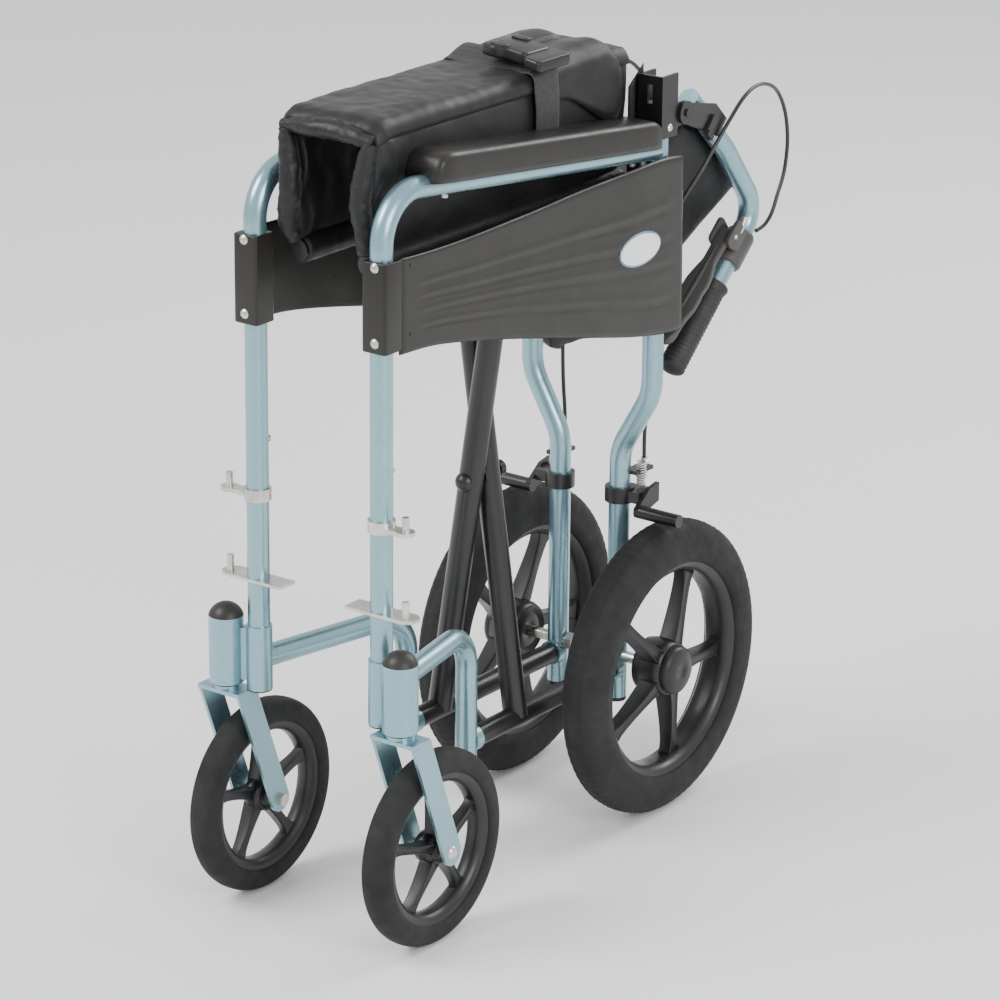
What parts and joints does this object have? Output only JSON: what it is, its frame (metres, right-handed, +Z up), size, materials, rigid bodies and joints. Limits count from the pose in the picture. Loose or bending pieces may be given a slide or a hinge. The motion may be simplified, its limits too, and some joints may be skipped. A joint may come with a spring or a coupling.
{
  "type": "folding transit wheelchair",
  "caption": "Folding attendant-pushed wheelchair, stored folded, with a scissor frame, folding backrest, hand brakes and swivel casters.",
  "frame": {"origin": "on the floor under the middle of the folded chair", "axes": "+Z up, the chair's front faces -Y, the occupant's left is +X"},
  "size_m": [0.275, 0.7407, 0.8505],
  "materials": {
    "frame_paint": "metallic pale blue lacquer",
    "black_steel": "satin black powder coat",
    "zinc": "bright zinc plate",
    "moulded_plastic": "fine-grained warm black moulding",
    "wheel_plastic": "satin black moulding",
    "tyre": "ribbed grey-black tread",
    "grip_rubber": "soft ribbed black grip",
    "cable_sheath": "smooth black sheath",
    "cloth": "padded black nylon",
    "webbing": "woven black webbing with a moulded buckle"
  },
  "bodies": {
    "frame_right": {"front_tube_right": "frame_paint", "rear_upright_right": "frame_paint", "lower_frame_right": "frame_paint", "end_caps_right": "moulded_plastic", "side_panel_right": "moulded_plastic", "armrest_pad_right": "moulded_plastic", "upright_brackets_right": "black_steel", "footrest_brackets_right": "zinc", "fixings_right": "zinc", "brake_cable_right": "cable_sheath"},
    "cane_right": {"cane_right": "frame_paint", "hinge_plates_right": "black_steel", "grip_right": "grip_rubber", "lever_housing_right": "moulded_plastic"},
    "brake_lever_right": {"brake_lever_right": "moulded_plastic"},
    "hinge_lock_right": {"hinge_lock_right": "moulded_plastic"},
    "brake_arm_right": {"brake_arm_right": "black_steel"},
    "seat_flap_right": {"seat_flap_right": "cloth"},
    "back_lower_right": {"back_lower_right": "cloth"},
    "back_upper_right": {"back_upper_right": "cloth"},
    "seat_top_right": {"seat_top_right": "cloth", "lap_belt": "webbing"},
    "caster_fork_right": {"caster_fork_right": "frame_paint", "caster_axle_right": "zinc"},
    "caster_wheel_right": {"caster_rim_right": "wheel_plastic", "caster_tyre_right": "tyre"},
    "rear_wheel_right": {"rear_rim_right": "wheel_plastic", "rear_tyre_right": "tyre"},
    "frame_left": {"front_tube_left": "frame_paint", "rear_upright_left": "frame_paint", "lower_frame_left": "frame_paint", "end_caps_left": "moulded_plastic", "side_panel_left": "moulded_plastic", "armrest_pad_left": "moulded_plastic", "upright_brackets_left": "black_steel", "footrest_brackets_left": "zinc", "fixings_left": "zinc", "brake_cable_left": "cable_sheath"},
    "cane_left": {"cane_left": "frame_paint", "hinge_plates_left": "black_steel", "grip_left": "grip_rubber", "lever_housing_left": "moulded_plastic"},
    "brake_lever_left": {"brake_lever_left": "moulded_plastic"},
    "hinge_lock_left": {"hinge_lock_left": "moulded_plastic"},
    "brake_arm_left": {"brake_arm_left": "black_steel"},
    "seat_flap_left": {"seat_flap_left": "cloth"},
    "back_lower_left": {"back_lower_left": "cloth"},
    "back_upper_left": {"back_upper_left": "cloth"},
    "seat_top_left": {"seat_top_left": "cloth"},
    "caster_fork_left": {"caster_fork_left": "frame_paint", "caster_axle_left": "zinc"},
    "caster_wheel_left": {"caster_rim_left": "wheel_plastic", "caster_tyre_left": "tyre"},
    "rear_wheel_left": {"rear_rim_left": "wheel_plastic", "rear_tyre_left": "tyre"},
    "brace_front": {"brace_front": "black_steel", "seat_rail_left": "black_steel", "pivot_bolt": "black_steel"},
    "brace_rear": {"brace_rear": "black_steel", "seat_rail_right": "black_steel"}
  },
  "joints": [
    {"name": "unfold", "type": "hinge", "parent": "frame_right", "child": "brace_front", "pos_m": [-0.038, -0.053, 0.145], "axis": [0, 1, 0], "range_deg": [0, 40.09]},
    {"name": "scissor_pivot", "type": "hinge", "parent": "brace_front", "child": "brace_rear", "pos_m": [0, -0.053, 0.40019], "axis": [0, 1, 0], "range_deg": [-80.18, 0]},
    {"name": "left_frame_link", "type": "hinge", "parent": "brace_rear", "child": "frame_left", "pos_m": [0.038, -0.053, 0.145], "axis": [0, 1, 0], "range_deg": [0, 40.1]},
    {"name": "seat_flap_left_fold", "type": "hinge", "parent": "brace_front", "child": "seat_flap_left", "pos_m": [0.04168, -0.083, 0.6801], "axis": [0, 1, 0], "range_deg": [-130.1, 0]},
    {"name": "seat_top_left_fold", "type": "hinge", "parent": "seat_flap_left", "child": "seat_top_left", "pos_m": [0.0495, -0.083, 0.8025], "axis": [0, 1, 0], "range_deg": [0, 90.01]},
    {"name": "back_lower_left_fold", "type": "hinge", "parent": "frame_left", "child": "back_lower_left", "pos_m": [0.059, 0.141, 0.68], "axis": [0, 0, 1], "range_deg": [-74.04, 0]},
    {"name": "back_upper_left_fold", "type": "hinge", "parent": "cane_left", "child": "back_upper_left", "pos_m": [0.059, 0.18337, 0.76498], "axis": [0, 0.7193, -0.6947], "range_deg": [0, 74.04]},
    {"name": "back_fold_left", "type": "hinge", "parent": "frame_left", "child": "cane_left", "pos_m": [0.076, 0.166, 0.747], "axis": [1, 0, 0], "range_deg": [0, 134.01], "deforming": ["brake_cable_left"]},
    {"name": "caster_swivel_left", "type": "hinge", "parent": "frame_left", "child": "caster_fork_left", "pos_m": [0.108, -0.32, 0.27], "axis": [0, 0, 1], "continuous": true},
    {"name": "caster_spin_left", "type": "hinge", "parent": "caster_fork_left", "child": "caster_wheel_left", "pos_m": [0.108, -0.27, 0.1], "axis": [1, 0, 0], "continuous": true},
    {"name": "rear_wheel_spin_left", "type": "hinge", "parent": "frame_left", "child": "rear_wheel_left", "pos_m": [0.093, 0.141, 0.158], "axis": [1, 0, 0], "continuous": true},
    {"name": "brake_lever_left_squeeze", "type": "hinge", "parent": "cane_left", "child": "brake_lever_left", "pos_m": [0.076, 0.2698, 0.59393], "axis": [1, 0, 0], "range_deg": [0, 4], "stiffness_Nm_per_rad": 1.2},
    {"name": "brake_arm_left_press", "type": "hinge", "parent": "frame_left", "child": "brake_arm_left", "pos_m": [0.062, 0.156, 0.338], "axis": [1, 0, 0], "range_deg": [0, 7.01]},
    {"name": "hinge_lock_left_press", "type": "hinge", "parent": "cane_left", "child": "hinge_lock_left", "pos_m": [0.097, 0.21224, 0.73154], "axis": [1, 0, 0], "range_deg": [0, 8], "stiffness_Nm_per_rad": 0.05},
    {"name": "seat_flap_right_fold", "type": "hinge", "parent": "brace_rear", "child": "seat_flap_right", "pos_m": [-0.04168, -0.083, 0.6801], "axis": [0, 1, 0], "range_deg": [0, 130.1]},
    {"name": "seat_top_right_fold", "type": "hinge", "parent": "seat_flap_right", "child": "seat_top_right", "pos_m": [-0.0495, -0.083, 0.8025], "axis": [0, 1, 0], "range_deg": [-90.01, 0]},
    {"name": "back_lower_right_fold", "type": "hinge", "parent": "frame_right", "child": "back_lower_right", "pos_m": [-0.059, 0.141, 0.68], "axis": [0, 0, 1], "range_deg": [0, 74.04]},
    {"name": "back_upper_right_fold", "type": "hinge", "parent": "cane_right", "child": "back_upper_right", "pos_m": [-0.059, 0.18337, 0.76498], "axis": [0, 0.7193, -0.6947], "range_deg": [-74.04, 0]},
    {"name": "back_fold", "type": "hinge", "parent": "frame_right", "child": "cane_right", "pos_m": [-0.076, 0.166, 0.747], "axis": [1, 0, 0], "range_deg": [0, 134], "deforming": ["brake_cable_right"]},
    {"name": "caster_swivel_right", "type": "hinge", "parent": "frame_right", "child": "caster_fork_right", "pos_m": [-0.108, -0.32, 0.27], "axis": [0, 0, 1], "continuous": true},
    {"name": "caster_spin_right", "type": "hinge", "parent": "caster_fork_right", "child": "caster_wheel_right", "pos_m": [-0.108, -0.27, 0.1], "axis": [1, 0, 0], "continuous": true},
    {"name": "rear_wheel_spin_right", "type": "hinge", "parent": "frame_right", "child": "rear_wheel_right", "pos_m": [-0.093, 0.141, 0.158], "axis": [1, 0, 0], "continuous": true},
    {"name": "brake_lever_right_squeeze", "type": "hinge", "parent": "cane_right", "child": "brake_lever_right", "pos_m": [-0.076, 0.2698, 0.59393], "axis": [1, 0, 0], "range_deg": [0, 4], "stiffness_Nm_per_rad": 1.2},
    {"name": "brake_arm_right_press", "type": "hinge", "parent": "frame_right", "child": "brake_arm_right", "pos_m": [-0.062, 0.156, 0.338], "axis": [1, 0, 0], "range_deg": [0, 7.01]},
    {"name": "hinge_lock_right_press", "type": "hinge", "parent": "cane_right", "child": "hinge_lock_right", "pos_m": [-0.097, 0.21224, 0.73154], "axis": [1, 0, 0], "range_deg": [0, 8], "stiffness_Nm_per_rad": 0.05}
  ],
  "couplings": [
    {"joint": "scissor_pivot", "follows": "unfold", "ratio": -2},
    {"joint": "left_frame_link", "follows": "unfold", "ratio": 1},
    {"joint": "seat_flap_left_fold", "follows": "unfold", "ratio": -3.2451},
    {"joint": "seat_top_left_fold", "follows": "unfold", "ratio": 2.2451},
    {"joint": "back_lower_left_fold", "follows": "unfold", "ratio": -1.8467},
    {"joint": "back_upper_left_fold", "follows": "unfold", "ratio": 1.8467},
    {"joint": "brake_arm_left_press", "follows": "brake_lever_left_squeeze", "ratio": 1.75},
    {"joint": "seat_flap_right_fold", "follows": "unfold", "ratio": 3.2451},
    {"joint": "seat_top_right_fold", "follows": "unfold", "ratio": -2.2451},
    {"joint": "back_lower_right_fold", "follows": "unfold", "ratio": 1.8467},
    {"joint": "back_upper_right_fold", "follows": "unfold", "ratio": -1.8467},
    {"joint": "brake_arm_right_press", "follows": "brake_lever_right_squeeze", "ratio": 1.75},
    {"joint": "back_fold_left", "follows": "back_fold", "ratio": 1}
  ]
}
